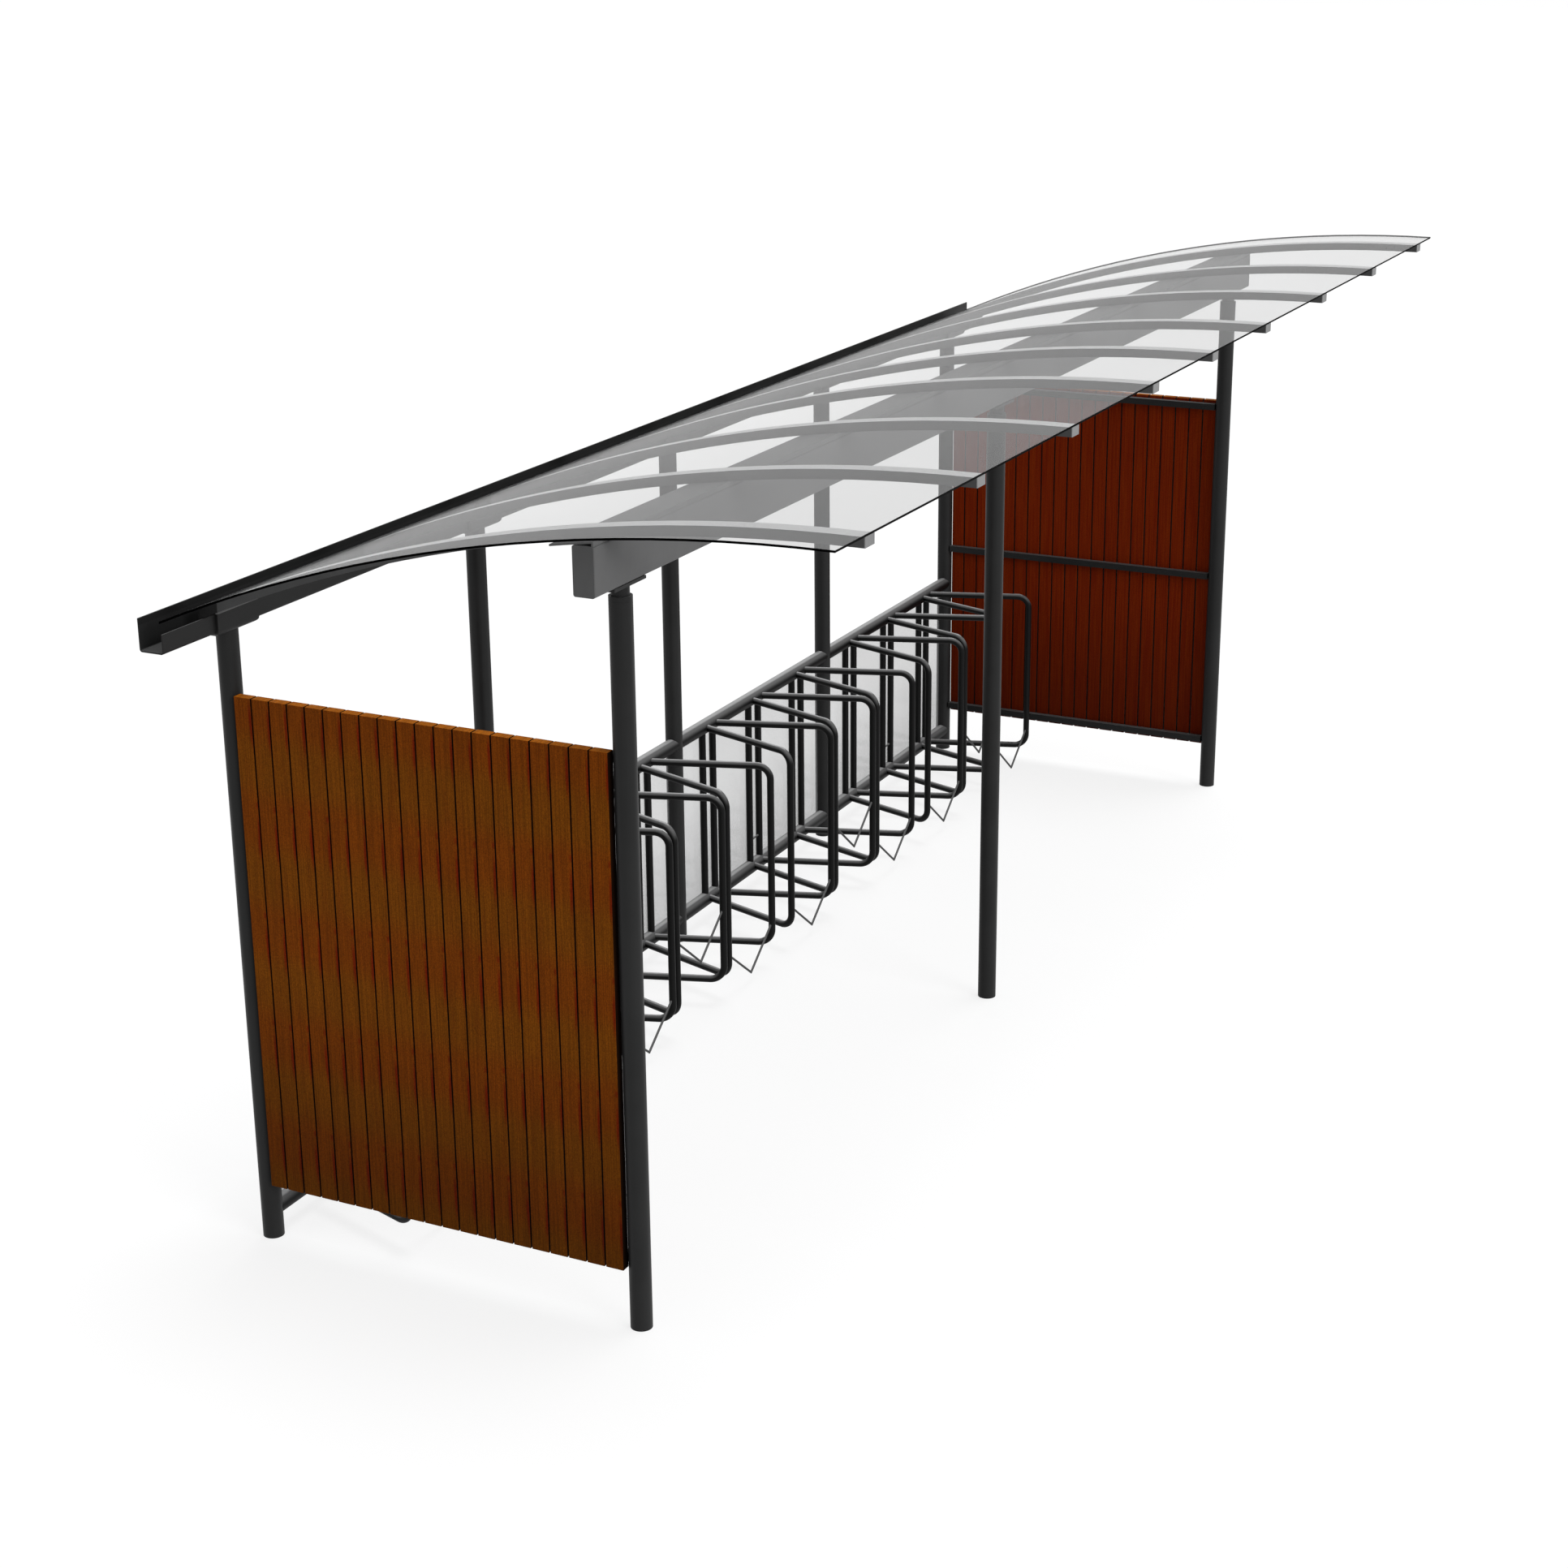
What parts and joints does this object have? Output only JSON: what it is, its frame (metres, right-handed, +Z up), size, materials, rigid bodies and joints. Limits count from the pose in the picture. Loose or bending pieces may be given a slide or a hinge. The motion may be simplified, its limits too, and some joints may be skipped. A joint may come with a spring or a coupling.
{
  "type": "bike shelter",
  "caption": "Open-front bicycle shelter with a curved clear roof on round posts, timber end walls, a rear gutter and a high and low wheel rack.",
  "frame": {"origin": "centre of the bounding box's footprint, on the ground plane the posts stand on", "axes": "+X along the row of bays, +Y from the open front to the gutter at the back, +Z up"},
  "size_m": [5.622, 2.0138, 2.3276],
  "materials": {
    "post_paint": "satin dark grey powder coat",
    "beam_paint": "satin dark grey powder coat",
    "plate_paint": "satin dark grey powder coat",
    "gutter_paint": "satin dark grey powder coat",
    "rib_paint": "satin dark grey powder coat",
    "rail_paint": "satin dark grey powder coat",
    "rack_paint": "satin dark grey powder coat",
    "panel": "clear flat sheet with a fine grain",
    "clear_sheet": "clear curved sheet with polished edges",
    "timber": "red-brown oiled upright boards"
  },
  "bodies": {
    "root": {"rear_post_1": "post_paint", "rear_post_2": "post_paint", "rear_post_3": "post_paint", "rear_post_4": "post_paint", "rear_post_5": "post_paint", "front_post_1": "post_paint", "front_post_2": "post_paint", "front_post_3": "post_paint", "front_post_head_1": "post_paint", "front_post_head_2": "post_paint", "front_post_head_3": "post_paint", "front_beam": "beam_paint", "beam_end_caps": "beam_paint", "beam_top_plate": "plate_paint", "gutter": "gutter_paint", "gutter_brackets": "gutter_paint", "rib_1": "rib_paint", "rib_2": "rib_paint", "rib_3": "rib_paint", "rib_4": "rib_paint", "rib_5": "rib_paint", "rib_6": "rib_paint", "rib_7": "rib_paint", "rib_8": "rib_paint", "rib_9": "rib_paint", "rib_end_caps": "rib_paint", "roof_sheet": "clear_sheet", "left_wall_boards": "timber", "left_wall_rails": "rail_paint", "right_wall_boards": "timber", "right_wall_rails": "rail_paint", "rack_rails_1": "rack_paint", "rack_rails_2": "rack_paint", "rack_rails_3": "rack_paint", "rack_rails_4": "rack_paint", "slot_bars_1": "rack_paint", "slot_bars_2": "rack_paint", "slot_bars_3": "rack_paint", "slot_bars_4": "rack_paint", "wheel_loops_1": "rack_paint", "wheel_loops_2": "rack_paint", "wheel_loops_3": "rack_paint", "wheel_loops_4": "rack_paint", "wheel_rests": "rack_paint", "rack_panels": "panel"}
  },
  "joints": []
}
